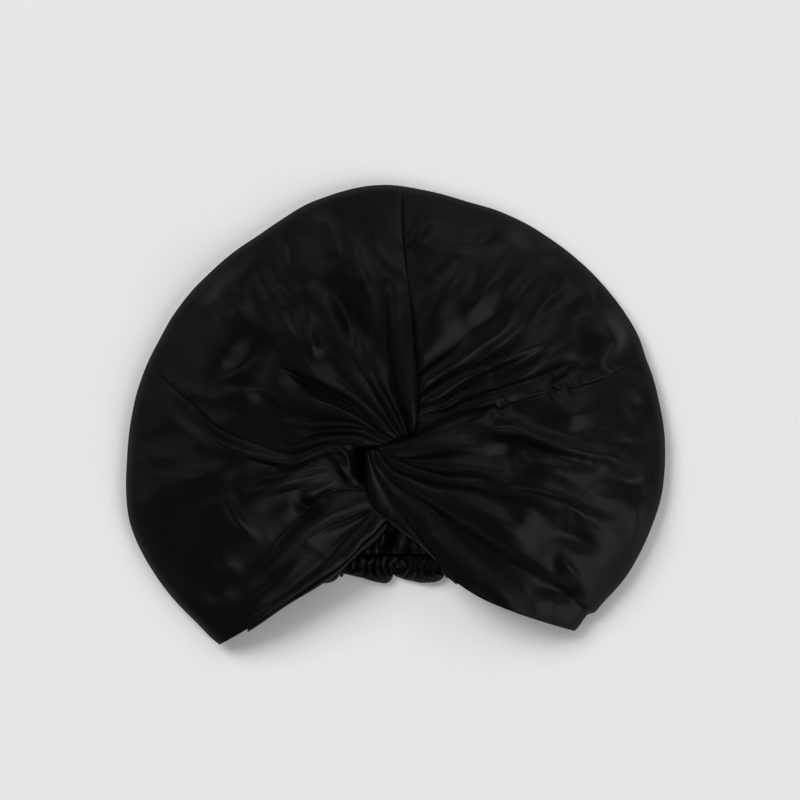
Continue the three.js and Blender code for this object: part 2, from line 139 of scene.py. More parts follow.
def near_line(points: np.ndarray, line: np.ndarray) -> tuple[np.ndarray, np.ndarray, np.ndarray]:
    """Nearest place on a polyline.

    Args:
        points: plan points, with x and y on the last axis.
        line: the polyline's points.

    Returns:
        The distance to the line, how far along it that is, and +1 on its left or -1 on its right.
    """
    flat = points.reshape(-1, 2)
    best = np.full(len(flat), 1e9)
    run = np.zeros(len(flat))
    side = np.ones(len(flat))
    gone = 0.0
    for a, b in zip(line[:-1], line[1:]):
        length = np.linalg.norm(b - a)
        ahead = (b - a) / max(length, TINY)
        away = flat - a
        t = np.clip(away @ ahead, 0.0, length)
        d = np.linalg.norm(away - t[:, None] * ahead, axis=1)
        closer = d < best
        best = np.where(closer, d, best)
        run = np.where(closer, gone + t, run)
        side = np.where(closer, np.sign(ahead[0] * away[:, 1] - ahead[1] * away[:, 0]), side)
        gone += length
    shape = points.shape[:-1]
    return best.reshape(shape), run.reshape(shape), side.reshape(shape)


@dataclass
class Noise:
    """Smooth noise on a square lattice that repeats after some cells."""

    seed: int
    cells: int = 64
    table: np.ndarray = field(init=False)

    def __post_init__(self) -> None:
        """Draws the lattice."""
        self.table = np.random.RandomState(self.seed).uniform(-1, 1, (self.cells, self.cells))

    def __call__(self, x: Any, y: Any) -> np.ndarray:
        """Noise from -1 to 1 at x and y, counted in cells."""
        x, y = np.asarray(x, float), np.asarray(y, float)
        i, j = np.floor(x).astype(int), np.floor(y).astype(int)
        u, v = x - i, y - j
        u, v = u * u * (3 - 2 * u), v * v * (3 - 2 * v)
        n = self.cells
        a = self.table[i % n, j % n] * (1 - u) + self.table[(i + 1) % n, j % n] * u
        b = self.table[i % n, (j + 1) % n] * (1 - u) + self.table[(i + 1) % n, (j + 1) % n] * u
        return a * (1 - v) + b * v


@dataclass(frozen=True)
class Rim:
    """The outline seen from above: pairs of a bearing in degrees and a share of the full radius."""

    full: float = 160.6
    ripple: float = 0.7
    ripple_pitch: float = 6.5
    waves: Noise = field(default_factory=lambda: Noise(3))
    rows: tuple[tuple[float, float], ...] = (
        (-56, 0.95), (-46.8, 0.971), (-42.3, 0.962), (-40.8, 0.977), (-38, 0.98), (-28, 0.998), (-12, 1.008),
        (0, 1.001), (17, 0.981), (23, 0.984), (36, 0.964), (54, 0.944), (76, 0.927), (93, 0.95), (108, 0.937),
        (120, 0.917), (132, 0.922), (150, 0.943), (168, 0.971), (186, 1.004), (198, 1.031), (210, 1.022),
        (222, 1.004), (229, 0.998), (236, 0.985),
    )

    def radius(self, bearing: Any) -> Any:
        """The outline's radius in mm at a bearing, held level beyond the first and last row."""
        table = np.array(self.rows, float)
        b, r = table[:, 0], table[:, 1]
        held = np.clip(bearing, b[0], b[-1])
        k = np.clip(np.searchsorted(b, held, side="right") - 1, 0, len(b) - 2)
        low, high = np.maximum(k - 1, 0), np.minimum(k + 2, len(b) - 1)
        span = b[k + 1] - b[k]
        t = (held - b[k]) / span
        m0 = (r[k + 1] - r[low]) / (b[k + 1] - b[low]) * span
        m1 = (r[high] - r[k]) / (b[high] - b[k]) * span
        share = hermite(t, r[k], m0, r[k + 1], m1)
        return self.full * share + self.ripple * self.waves((held + 90) / self.ripple_pitch, 0.5)

    def points(self, bearing: Any) -> np.ndarray:
        """The outline's plan points at one or more bearings."""
        turn = np.radians(bearing)
        return np.stack([self.radius(bearing) * np.cos(turn), self.radius(bearing) * np.sin(turn)], axis=-1)

    def inset(self, plan: np.ndarray) -> np.ndarray:
        """How far inside the outline plan points lie."""
        bearing = np.degrees(np.arctan2(plan[..., 1], plan[..., 0]))
        bearing = np.where(bearing < -90, bearing + 360, bearing)
        return self.radius(bearing) - np.linalg.norm(plan, axis=-1)


@dataclass(frozen=True)
class FoldLine:
    """A valley between two folds.

    crest is the height in mm of the fold that follows it, and steep the most that it may be as a share of
    its width. lean moves the fold's top towards the next line. begin is how far from the twist the fold
    starts and reach the share of the line at which it ends. lift raises the line itself near the twist. dive
    and run say how deep its end goes under its neighbour, and how soon.
    """

    path: Path
    bearing: float
    crest: float = 4.0
    steep: float = 0.42
    lean: float = 0.0
    begin: float = 0.0
    reach: float = 0.8
    lift: float = 0.0
    dive: float = 2.2
    run: float = 6.0


@dataclass(frozen=True)
class Pit:
    """A deep, narrow hollow along a charted path: full depth within near mm and none beyond far mm.

    bend is how gently it sinks: 1 is a straight slope, and more leaves its edge softer. A tapered one fades
    in and out over shares of its length.
    """

    path: Path
    depth: float
    near: float
    far: float
    tapered: bool = True
    bend: float = 1.5
    fade_in: float = 0.6
    fade_out: float = 0.3
    points: int = 30

    def sink(self, plan: np.ndarray) -> np.ndarray:
        """How deep the hollow is.

        Args:
            plan: plan points.

        Returns:
            A depth in mm for each point.
        """
        line, total = spline(chart(self.path), self.points)
        away, along, _ = near_line(plan, line)
        ends = 1.0
        if self.tapered:
            ends = smooth(along, 0, self.fade_in * total) * smooth(total - along, 0, self.fade_out * total)
        far = self.near + (self.far - self.near) * (0.5 + 0.5 * ends)
        return self.depth * (1 - np.clip((away - self.near) / (far - self.near), 0, 1)) ** self.bend * ends


@dataclass(frozen=True)
class Stroke:
    """A ridge or dent along a charted path. left and right are its half widths, in charted steps."""

    path: Path
    height: float
    left: float
    right: float


@dataclass(frozen=True)
class Seam:
    """A sewn seam. Its thread gathers the cloth from start mm along it, in puckers about pitch mm apart."""

    path: Path
    bearing: float
    start: float
    height: float
    pitch: float


LEFT_SEAM = ((-31, -6), (-55, -4), (-74, -3), (-90, -10), (-104, -13), (-137, -3), (-170, 10), (-190, 25),
             (-205, 40), (-233, 64))
CENTRE_SEAM = ((18, 4), (22, 25), (23, 46), (23, 60), (22, 80), (20, 100), (18, 118), (16, 140), (11, 178),
               (10, 190), (8, 215), (7, 235))
RIGHT_SEAM = ((21, 4), (30, 9.5), (39, 15), (53, 25), (67, 29), (85, 31), (96, 34), (104, 32), (119, 38),
              (135, 43), (161, 50), (195, 57), (225, 70), (241, 78))
UNDER_SEAM = ((23, 1), (32, 6), (41, 11.5), (54.5, 21.5), (68, 26.5), (85, 30), *RIGHT_SEAM[6:])
LEFT_HEM = ((-3, -74), (-11, -82), (-20, -92), (-31, -101), (-45, -117), (-59, -128), (-80, -142),
            (-107, -161), (-150, -190))
UNDER_HEM = ((-2, -81), (-11, -91), (-19.6, -100.8), (-30.8, -109), (-44.8, -121), (-56, -132), (-78, -147),
             (-107, -164.5), (-150, -193.5))
RIGHT_HEM = ((-29.5, -6.5), (-28.6, -24), (-29, -45), (-26.5, -59), (-19, -70.5), (-5, -82), (8.5, -93),
             (20, -100.5), (34, -113.5), (44, -123.5), (52, -133), (85, -157), (135, -177.5))
INNER_HEM = ((-27, -7), (-24, -21), (-17, -38), (-5.5, -58), (11, -80), (25, -97), (39, -114), (50, -131),
             (85, -156.5), (135, -177))

CROWN_LEFT = (
    FoldLine(LEFT_SEAM, 163.0, crest=4.0, reach=0.45),
    FoldLine(((-17, -2), (-25, 2), (-36, 6), (-56, 7), (-76, 6), (-94, 0), (-107, -5), (-140, 8), (-180, 33),
              (-205, 52)), 161.0, crest=3.5, reach=0.4),
    FoldLine(((-11, 0), (-20, 5), (-31, 11), (-48, 13), (-69, 12), (-95, 11), (-125, 18), (-160, 40),
              (-195, 64)), 159.0, crest=3.5, reach=0.5),
    FoldLine(((-8, 0), (-14, 3), (-25, 10), (-39, 17), (-59, 20), (-87, 21), (-115, 22), (-145, 34),
              (-170, 52), (-200, 76)), 157.5, crest=7.0, steep=0.34, lean=0.3, reach=0.62),
    FoldLine(((-3, 2), (-17, 10.5), (-32, 25), (-50, 38), (-68, 46.5), (-94, 61), (-120, 74), (-150, 100),
              (-185, 136)), 142.0, crest=6.5, steep=0.42, lean=-0.4, reach=0.55, lift=-1),
    FoldLine(((2, 3.5), (-9.6, 19), (-25, 36), (-43, 52), (-66, 78), (-92, 118), (-130, 180)), 130.0,
             crest=1.6, lean=-0.2, reach=0.45),
    FoldLine(((6, 4), (-1.5, 16), (-9, 29), (-18, 44), (-33, 67), (-46, 88), (-66, 125), (-98, 190)), 119.0,
             crest=4.6, steep=0.6, lean=0.25, reach=0.36),
    FoldLine(((10.5, 4), (4.5, 20), (-8, 45), (-18, 62), (-28, 80), (-40, 120), (-58, 185)), 106.0, crest=2.2,
             lean=-0.4, reach=0.42, lift=1.5),
    FoldLine(((14.5, 4), (12, 18), (8, 32), (1, 47), (-4, 62), (-8, 88), (-13, 140), (-22, 205)), 97.0,
             crest=5.0, steep=0.5, lean=-0.3, reach=0.7, lift=-1.5),
    FoldLine(CENTRE_SEAM, 88.9, crest=0.0, lift=2.5),
)
CROWN_RIGHT = (
    FoldLine(((18, 104), (15, 140), (11, 178), (10, 190), (8, 215), (7, 235)), 88.9, crest=6.0, steep=0.3,
             lean=0.3),
    FoldLine(((25, 66), (53, 87), (76, 110), (99, 126), (130, 156), (161, 180)), 46.0, crest=4.5, lean=0.3),
    FoldLine(((25, 45), (45, 59), (76, 75), (107, 94), (142, 118), (180, 138)), 34.0, crest=5.0, lean=0.3),
    FoldLine(((24, 33), (46, 39), (60, 49), (72, 56), (105, 70), (150, 85), (200, 103)), 25.8, crest=6.0,
             lean=0.5),
    FoldLine(((22.5, 22), (36.6, 27), (50.6, 30), (67.5, 39), (85, 44.5), (133, 58), (174, 73), (205, 80)),
             20.5, crest=1.6, reach=0.5, lift=-1.5),
    FoldLine(UNDER_SEAM, 18.9, crest=0.0, lift=-1.2),
)
BAND_RIGHT = (
    FoldLine(RIGHT_SEAM, 18.9, crest=7.0, steep=0.33, lean=-0.3, reach=0.55, lift=0.3, run=3.2),
    FoldLine(((-16, -5), (-4, -14), (7, -17.6), (25, -17), (42, -15.5), (60, -14), (85, -16), (125, -20),
              (175, -24)), -3.5, crest=4.5, lean=0.2, reach=0.5, lift=1.5, run=3.2),
    FoldLine(((-17, -6.5), (-6, -16.5), (5, -20.5), (25, -27.5), (46, -32.5), (85, -38), (105, -46),
              (156, -61), (207, -83)), -24.0, crest=4.5, lean=0.1, reach=0.5, lift=1.5, run=3.2),
    FoldLine(((-18, -9), (-8, -21.5), (1.5, -30), (18, -37), (39, -44), (60, -48), (85, -52), (115, -61),
              (150, -80), (205, -118)), -31.5, crest=6.0, lean=0.55, reach=0.95, lift=0.5, run=3.2),
    FoldLine(((-22, -7.4), (-18, -18.6), (-11, -28.4), (-3, -38), (8.5, -47), (25, -59), (46, -75),
              (67.5, -90), (85, -104), (140, -140)), -42.0, crest=3.6, lean=0.3, reach=1.0, lift=0.5,
             run=3.2),
    FoldLine(INNER_HEM, -46.8, crest=0.0, lift=1.5, run=3.2),
)
BAND_LEFT = (
    FoldLine(LEFT_HEM, 229.4, crest=2.0, reach=1.0),
    FoldLine(((-18, -66), (-25, -74), (-37, -84), (-52, -99), (-70, -120), (-100, -146), (-140, -172)),
             226.0, crest=3.0, steep=0.36, reach=0.85, lift=-3),
    FoldLine(((-17, -64), (-24, -70), (-45, -80), (-66, -87), (-87, -99), (-115, -126), (-140, -150)),
             221.0, crest=7.0, steep=0.3, lean=-0.2, reach=0.8, lift=-3),
    FoldLine(((-22, -50), (-32, -49), (-48, -47), (-69, -52), (-81, -62), (-95, -75), (-115, -96),
              (-140, -120)), 213.0, crest=2.0, begin=22, reach=0.5, lift=-4, dive=6),
    FoldLine(((-24, -40), (-34, -39), (-45, -38), (-65, -41), (-90, -47), (-130, -57), (-180, -70)), 203.0,
             crest=1.3, begin=26, reach=0.7, lift=-2.5, dive=4, run=4),
    FoldLine(((-26, -24), (-45, -26), (-65, -27), (-90, -32), (-130, -38), (-180, -34)), 188.0, crest=1.3,
             begin=26, reach=0.6, lift=-2, dive=4, run=4),
    FoldLine(((-27, -10), (-40, -14), (-65, -14), (-85, -21), (-105, -28), (-135, -22), (-165, -12),
              (-195, 8), (-225, 28)), 171.5, crest=2.8, lean=-0.3, begin=14, reach=1.0, lift=-2, dive=4,
             run=4),
    FoldLine(LEFT_SEAM, 163.0, crest=0.0, dive=3, run=4),
)

POCKET = Pit(((-29, -10), (-29.5, -21), (-28.5, -32)), 23.0, 0.2, 13.0, tapered=False, bend=2.8)
CREVICE = Pit(((-126, 80), (-94, 61), (-68, 46.5), (-50, 38), (-32, 25), (-20, 14)), 8.0, 0.3, 6.0, bend=2.3)

STROKES = (
    # Left crown: the big puff, its hollow, and the soft ridges above the deep crease
    Stroke(((-128, 196), (-152, 165), (-160, 128), (-188, 84)), 1.7, 9, 24),
    Stroke(((-190, 66), (-165, 66), (-140, 84), (-118, 108)), -4.0, 12, 12),
    Stroke(((-178, 44), (-152, 50), (-132, 38)), 2.6, 6, 9),
    Stroke(((-170, 154), (-150, 136)), -0.9, 5, 5),
    Stroke(((-190, 134), (-176, 108)), -0.9, 6, 6),
    Stroke(((-82, 240), (-63, 200), (-50, 160)), 2.0, 7, 7),
    Stroke(((-50, 212), (-36, 170), (-20, 132)), 2.2, 6, 5),
    Stroke(((-68, 164), (-44, 120), (-24, 82)), -3.4, 10, 8),
    Stroke(((-115, 212), (-108, 168)), 1.0, 3, 5),
    Stroke(((-92, 122), (-78, 80)), 1.8, 6, 4),
    Stroke(((-110, 152), (-78, 150)), 1.4, 9, 9),
    # Right crown
    Stroke(((70, 190), (112, 206)), -1.5, 8, 9),
    Stroke(((108, 207), (146, 216)), 1.0, 7, 9),
    Stroke(((26, 112), (50, 150), (80, 190)), 3.2, 8, 12),
    Stroke(((58, 100), (81, 132), (103, 163), (128, 214)), 4.2, 13, 16),
    Stroke(((96, 110), (127, 146), (164, 184)), 2.8, 8, 12),
    Stroke(((138, 182), (152, 194), (178, 196)), 2.0, 5, 5),
    Stroke(((128, 122), (150, 142), (176, 158)), -1.6, 8, 8),
    Stroke(((196, 172), (195, 150), (194, 126)), 1.4, 5, 5),
    Stroke(((222, 142), (226, 116), (216, 94), (196, 74)), 3.2, 7, 24),
    Stroke(((176, 97), (130, 71), (108, 65)), 2.0, 6, 5),
    Stroke(((16, 196), (34, 220)), 1.5, 5, 5),
    Stroke(((130, 60), (168, 70), (206, 74)), -2.8, 8, 8),
    # Right band
    Stroke(((196, -4), (226, -22), (248, -36)), 2.2, 8, 8),
    Stroke(((98, -8), (150, -24), (200, -38)), 2.2, 7, 11),
    Stroke(((146, -90), (176, -96), (208, -114)), -2.0, 7, 8),
    Stroke(((58, -60), (96, -74), (136, -103)), 1.8, 7, 8),
    Stroke(((150, 30), (176, 26), (202, 38)), 1.9, 9, 9),
    Stroke(((238, -58), (246, -88), (234, -122)), 2.6, 7, 7),
    Stroke(((136, -140), (168, -150), (190, -164)), -1.8, 7, 7),
    Stroke(((58, 21), (80, 13), (126, 7), (142, 0), (220, -20)), 3.4, 7, 5),
    Stroke(((98, -4), (130, -26)), -2.6, 10, 10),
    Stroke(((98, -47), (156, -60), (212, -82)), 2.2, 4, 9),
    Stroke(((214, -26), (248, -56)), -2.0, 10, 10),
    Stroke(((164, -116), (184, -142)), 1.6, 4, 5),
    Stroke(((116, -62), (140, -88)), 1.4, 7, 7),
    Stroke(((234, 44), (248, 14)), -1.8, 9, 9),
    # Left band
    Stroke(((-256, 52), (-240, 50), (-218, 32), (-195, 12), (-166, -8), (-125, -20), (-106, -21)), 2.4, 5,
           6),
    Stroke(((-262, -4), (-230, 2), (-176, 16)), -1.3, 9, 9),
    Stroke(((-25, -64), (-62, -78), (-94, -100), (-124, -142)), 3.2, 10, 9),
    Stroke(((-256, -55), (-198, -37), (-140, -24)), 1.8, 7, 9),
    Stroke(((-173, -36), (-160, -72), (-136, -100)), 1.9, 5, 5),
    Stroke(((-152, -58), (-113, -41), (-74, -28)), 2.0, 6, 7),
    Stroke(((-102, -53), (-86, -66), (-68, -66)), -2.2, 6, 6),
    Stroke(((-74, -4), (-56, -7), (-47, -18), (-43, -33), (-31, -44)), 1.6, 3.4, 3.0),
    Stroke(((-70, -14), (-59, -17), (-50, -32), (-43, -44)), 1.7, 3.0, 2.6),
    Stroke(((-188, -106), (-170, -121), (-150, -133)), 1.3, 6, 7),
    Stroke(((-194, -150), (-158, -157)), 1.3, 7, 7),
    Stroke(((-200, -104), (-232, -56)), -2.0, 15, 15),
)

# The tall folds of the underside that show through the head opening: path, height and half width, in mm
NAPE_FOLDS = (
    (((-1.5, -42), (-0.4, -50), (3, -55), (2.6, -61), (-1.6, -68), (-3, -74)), 12.5, 3.6),
    (((5, -48), (7, -56), (10, -60), (13, -64.5), (9.5, -68.5)), 11.0, 3.9),
    (((-3, -48), (-6.8, -56), (-10, -61), (-10.8, -64.5), (-8.3, -75)), 11.0, 3.6),
    (((-16, -58), (-17, -64), (-15.5, -72)), 8.5, 3.2),
    (((15, -56), (17, -64.5), (15.8, -76)), 9.0, 3.0),
    (((21, -60), (23, -66), (22, -76)), 8.0, 2.8),
    (((-24, -60), (-23, -72)), 6.0, 2.6),
    (((29, -60), (28, -72)), 6.0, 2.6),
)


@dataclass
class Form:
    """The turban's soft form: heights over the plan in mm, without the folds that follow each panel.

    Readings of one noise lattice are kept apart by a number that is added to the place. calm lists where the
    cloth lies smoother: a bearing, a half width in degrees and the share that is taken away.
    """

    rim: Rim = field(default_factory=Rim)
    puff: float = 37.0
    rim_height: float = 8.0
    rim_run: float = 12.0
    puff_run: float = 76.0
    puff_bend: float = 2.0
    edge_run: float = 5.0
    edge_share: float = 0.06
    twist_rise: float = 4.5
    twist_spread: float = 26.0
    mouth_drop: float = 0.42
    mouth_run: float = 58.0
    mouth_blend: float = 8.0
    mouth: tuple[Path, ...] = (((-10, -78), (-165, -200)), ((-5, -80), (165, -188)))
    relief_inset: tuple[float, float] = (2.0, 16.0)
    stroke_share: float = 2.0
    stroke_width: float = 1.3
    stroke_tail: float = 0.22
    stroke_points: int = 16
    groove_depth: float = 0.7
    groove_width: float = 0.9
    thread_lead: float = 8.0
    warp: float = 0.8
    warp_size: float = 40.0
    dents: tuple[float, float] = (31.0, 27.0)
    small_dents: tuple[float, float] = (12.0, 14.0)
    small_share: float = 0.3
    pull: float = 1.8
    pull_length: float = 55.0
    sharp_length: float = 38.0
    crumple: float = 0.75
    crumple_patch: float = 46.0
    calm: tuple[tuple[float, float, float], ...] = ((205, 32, 0.55), (335, 28, 0.4))
    calm_twist: tuple[float, float] = (25.0, 75.0)
    soft: Noise = field(default_factory=lambda: Noise(7))
    fine: Noise = field(default_factory=lambda: Noise(21))
    rays: Noise = field(default_factory=lambda: Noise(11, 28))
    twist: tuple[float, float] = (-3.2, -3.2)
    seams: tuple[Seam, ...] = (
        Seam(LEFT_SEAM, 163.0, 104, 1.1, 2.0),
        Seam(CENTRE_SEAM, 88.9, 108, 0.9, 2.3),
        Seam(RIGHT_SEAM, 18.9, 52, 2.1, 4.0),
    )

    def line(self, path: Path, bearing: float) -> tuple[np.ndarray, float]:
        """Lays a charted path that ends on the rim.

        Args:
            path: its charted points.
            bearing: the bearing at which it meets the rim.

        Returns:
            Evenly spaced plan points and the line's length.
        """
        return spline(np.vstack([chart(path), self.rim.points(bearing)]), LINE_POINTS)

    def front(self, plan: np.ndarray) -> np.ndarray:
        """Height of the front, with its broad ridges, seams and soft unevenness.

        Args:
            plan: plan points.

        Returns:
            A height for each point.
        """
        inset = np.maximum(self.rim.inset(plan), 0)
        edge = 1 - (1 - np.minimum(inset / self.edge_run, 1)) ** 2
        rise = 1 - (1 - np.minimum(inset / self.puff_run, 1)) ** self.puff_bend
        share = self.edge_share * edge + (1 - self.edge_share) * rise
        near = sum(np.exp(-near_line(plan, chart(side))[0] / self.mouth_blend) for side in self.mouth)
        to_hem = -self.mouth_blend * np.log(np.maximum(near, 1e-12))
        opened = 1 - self.mouth_drop * (1 - smooth(to_hem, 0, self.mouth_run)) * rise
        far = ((plan - np.array(self.twist)) ** 2).sum(-1)
        twist = self.twist_rise * np.exp(-far / (2 * self.twist_spread**2))
        z = self.rim_height + (self.puff - self.rim_height) * share * opened + twist
        relief = self.strokes(plan) + self.pucker(plan) + self.uneven(plan)
        return z + relief * smooth(inset, *self.relief_inset)

    def strokes(self, plan: np.ndarray) -> np.ndarray:
        """Height that the charted ridges and dents add at plan points."""
        z = np.zeros(plan.shape[:-1])
        for stroke in STROKES:
            path = chart(stroke.path)
            ahead, behind = path[-1] - path[-2], path[0] - path[1]
            path = np.vstack([path[0] + self.stroke_tail * behind, path, path[-1] + self.stroke_tail * ahead])
            line, length = spline(path, self.stroke_points)
            away, run, side = near_line(plan, line)
            window = np.sin(math.pi * run / length) ** 2
            mean, half = (stroke.left + stroke.right) / 2, (stroke.left - stroke.right) / 2
            width = (mean + half * side * np.minimum(2 * window, 1)) * CHART * self.stroke_width
            z += self.stroke_share * stroke.height * np.exp(-((away / width) ** 2)) * window
        return z

    def pucker(self, plan: np.ndarray) -> np.ndarray:
        """Height of each seam's groove and of the small gathers that its thread pulls, at plan points."""
        z = np.zeros(plan.shape[:-1])
        for k, seam in enumerate(self.seams):
            away, run, side = near_line(plan, self.line(seam.path, seam.bearing)[0][::3])
            out = smooth(run, seam.start - self.thread_lead, seam.start + self.thread_lead)
            patchy = 0.55 + 0.6 * self.soft(run / 11.0 + 9 * k, 3.3 + k)
            slant = side * (6.3 + 0.12 * away)
            wave = self.fine(run / seam.pitch + slant, 2.1 + 5 * k) + 0.25 * self.fine(run / 1.6, slant + k)
            reach = seam.pitch * (1.1 + 1.3 * self.soft(run / 7.0 + 7 * k, side * 4.2) ** 2)
            groove = np.exp(-((away / self.groove_width) ** 2))
            z -= smooth(run, 0.4 * seam.start, seam.start) * self.groove_depth * groove
            raised = smooth(away, -0.6, 1.6) * np.exp(-((away / reach) ** 1.5))
            z += out * np.maximum(patchy, 0.15) * seam.height * wave * raised
        return z

    def uneven(self, plan: np.ndarray) -> np.ndarray:
        """Height of the soft dents all over the cloth and of the long pulls that run out from the twist.

        Args:
            plan: plan points.

        Returns:
            A height for each point.
        """
        x, y = plan[..., 0], plan[..., 1]
        away = plan - np.array(self.twist)
        turn = np.arctan2(away[..., 1], away[..., 0]) / (2 * math.pi) * self.rays.cells
        far = np.linalg.norm(away, axis=-1)
        warp = self.warp * self.soft(x / self.warp_size + 5, y / self.warp_size + 5)
        pulls = self.rays(turn + warp, far / self.pull_length)
        sharp = 1 - np.sqrt(self.rays(2 * turn + 3 + warp, far / self.sharp_length + 9) ** 2 + 0.02)
        broad = self.soft(x / self.dents[0] + 40, y / self.dents[1] + 40)
        small = self.fine(x / self.small_dents[0] + 30, y / self.small_dents[1] + 30)
        creased = sum(
            part * (0.6 - np.sqrt(noise(x / size + 2 * warp + 13, y / size - warp + 17) ** 2 + 0.03))
            for noise, size, part in ((self.soft, 17.0, 1.0), (self.fine, 9.0, 0.4))
        )
        patch = smooth(self.soft(x / self.crumple_patch + 21, y / self.crumple_patch + 33), -0.3, 0.5)
        bearing = np.degrees(np.arctan2(y, x)) % 360
        calm = sum(share * np.exp(-(((bearing - at) / half) ** 2)) for at, half, share in self.calm)
        out = smooth(far, *self.calm_twist) * (1 - calm)
        pulled = self.pull * (pulls + sharp) + 2 * self.crumple * patch * creased
        return broad + self.small_share * small + out * pulled

    def under(self, plan: np.ndarray) -> np.ndarray:
        """Height of the underside: flat where it lies, curling up to the rim, with the tall nape folds."""
        near = np.clip(self.rim.inset(plan) / self.rim_run, 0, 1)
        z = self.rim_height * (1 - np.sqrt(1 - (1 - near) ** 2))
        for path, height, width in NAPE_FOLDS:
            line, length = spline(path, 12)
            away, run, _ = near_line(plan, line)
            z = z + height * np.exp(-((away / width) ** 2)) * np.sin(math.pi * (0.15 + 0.7 * run / length))
        return z


def normals(points: np.ndarray) -> np.ndarray:
    """Unit normals of a grid of points, pointing out of the cloth.

    Args:
        points: positions, by column and row.

    Returns:
        A softened normal for each point.
    """
    n = np.cross(np.gradient(points, axis=0), np.gradient(points, axis=1))
    size = np.linalg.norm(n, axis=-1, keepdims=True)
    n = np.where(size > TINY, n / np.maximum(size, TINY), np.array([0.0, 0.0, 1.0]))
    for _ in range(2):
        grown = n.copy()
        grown[1:-1] += n[:-2] + n[2:]
        grown[:, 1:-1] += n[:, :-2] + n[:, 2:]
        n = grown / np.maximum(np.linalg.norm(grown, axis=-1, keepdims=True), TINY)
    return n


def linked(name: str, data: Any) -> bpy.types.Object:
    """Puts a new object into the scene.

    Args:
        name: its name.
        data: the mesh, light or camera that it holds.

    Returns:
        The object.
    """
    made = bpy.data.objects.new(name, data)
    bpy.context.scene.collection.objects.link(made)
    return made


def finished(bm: bmesh.types.BMesh, name: str, finish: bpy.types.Material) -> bpy.types.Object:
    """Makes an object of a shaped bmesh.

    Args:
        bm: the bmesh, which is freed.
        name: the object's name.
        finish: its material.

    Returns:
        The object, in the scene.
    """
    mesh = bpy.data.meshes.new(name)
    bm.to_mesh(mesh)
    bm.free()
    mesh.materials.append(finish)
    return linked(name, mesh)


@dataclass(frozen=True)
class Cut:
    """The flat cloth of a piece: width and length in mm, its share of that rectangle, and how it is held."""

    width: float
    length: float
    share: float
    held: Hold = Hold.GATHERED


@dataclass
class ClothWall:
    """A closed wall of cloth behind a grid of outer points in mm, with rolled edges.

    A tube's first and last row are one line, and its ends stay open. roll_out and roll_in say where the ring
    of points round an edge lies, as shares of the cloth. deepest keeps the inner face near the outer one in
    tight folds. An edge's own wall is thinner, by edge_share.
    """

    node: str
    outer: np.ndarray
    uv: np.ndarray
    cloth: float
    tube: bool = False
    roll_out: float = 0.35
    roll_in: float = 0.28
    deepest: float = 1.5
    edge_share: float = 0.3

    def rolled(self) -> tuple[np.ndarray, np.ndarray]:
        """Bends one more ring of points over the cloth's edges.

        Returns:
            The outer points and their UV places, with the ring.
        """
        grid, uv, n = self.outer, self.uv, normals(self.outer)
        for axis in (0,) if self.tube else (0, 1):
            ends = []
            for last, before in ((0, 1), (-1, -2)):
                edge, up = np.take(grid, [last], axis), np.take(n, [last], axis)
                out = edge - np.take(grid, [before], axis)
                out = out / np.maximum(np.linalg.norm(out, axis=-1, keepdims=True), TINY)
                ends.append(edge + self.cloth * (self.roll_out * out - self.roll_in * up))
            grid = np.concatenate([ends[0], grid, ends[1]], axis=axis)
            uv, n = (
                np.concatenate([np.take(v, [0], axis), v, np.take(v, [-1], axis)], axis=axis) for v in (uv, n)
            )
        return grid, uv

    def build(self, finish: bpy.types.Material) -> bpy.types.Object:
        """Makes the wall from a grid that is shaped, merged and solidified.

        Args:
            finish: its material.

        Returns:
            The object, in the scene, with its mesh in metres.
        """
        grid, uv = self.rolled()
        columns, rows = grid.shape[:2]
        places = ((grid + np.array([*RIM_CENTRE, 0.0])) * MM).transpose(1, 0, 2).reshape(-1, 3)
        laid = (uv * MM).transpose(1, 0, 2).reshape(-1, 2)
        bm = bmesh.new()
        bmesh.ops.create_grid(bm, x_segments=columns - 1, y_segments=rows - 1, size=1.0)
        layer = bm.loops.layers.uv.new("cloth")
        number = bm.verts.layers.int.new("number")
        bm.verts.index_update()
        for vert, place in zip(bm.verts, places):
            vert.co = place
            vert[number] = vert.index
        for face in bm.faces:
            face.smooth = True
            for loop in face.loops:
                loop[layer].uv = laid[loop.vert.index]
        if self.tube:
            bmesh.ops.remove_doubles(bm, verts=bm.verts[:], dist=1e-6)
        bm.normal_update()
        edge = {vert for vert in bm.verts if vert.is_boundary}
        outside = {vert[number]: vert for vert in bm.verts}
        bmesh.ops.solidify(bm, geom=bm.faces[:], thickness=self.cloth * MM)
        for vert in bm.verts:
            partner = outside[vert[number]]
            if partner is not vert:
                depth = vert.co - partner.co
                depth *= min(1.0, self.deepest * self.cloth * MM / max(depth.length, TINY))
                vert.co = partner.co + depth * (1.0 - self.edge_share if partner in edge else 1.0)
                if partner in edge:
                    partner.co += self.edge_share * depth
        for vert in bm.verts:
            vert.co.z = max(vert.co.z, 0.0)
        for face in bm.faces:
            face.smooth = True
        return finished(bm, f"{self.node}_cloth", finish)

    def place(self, finish: bpy.types.Material, slot: Slot, cut: Cut) -> None:
        """Makes the wall, puts it in place of its CAD node and reports it.

        Args:
            finish: its material.
            slot: the finish that it fills; not used.
            cut: the flat cloth that it is sewn from; not used.
        """
        made = self.build(finish)
        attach(made, "root")
        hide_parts(self.node)
        area = sum(face.area for face in made.data.polygons) / 2
        log.info("%s: %d faces, %.4f square metres", made.name, len(made.data.polygons), area)


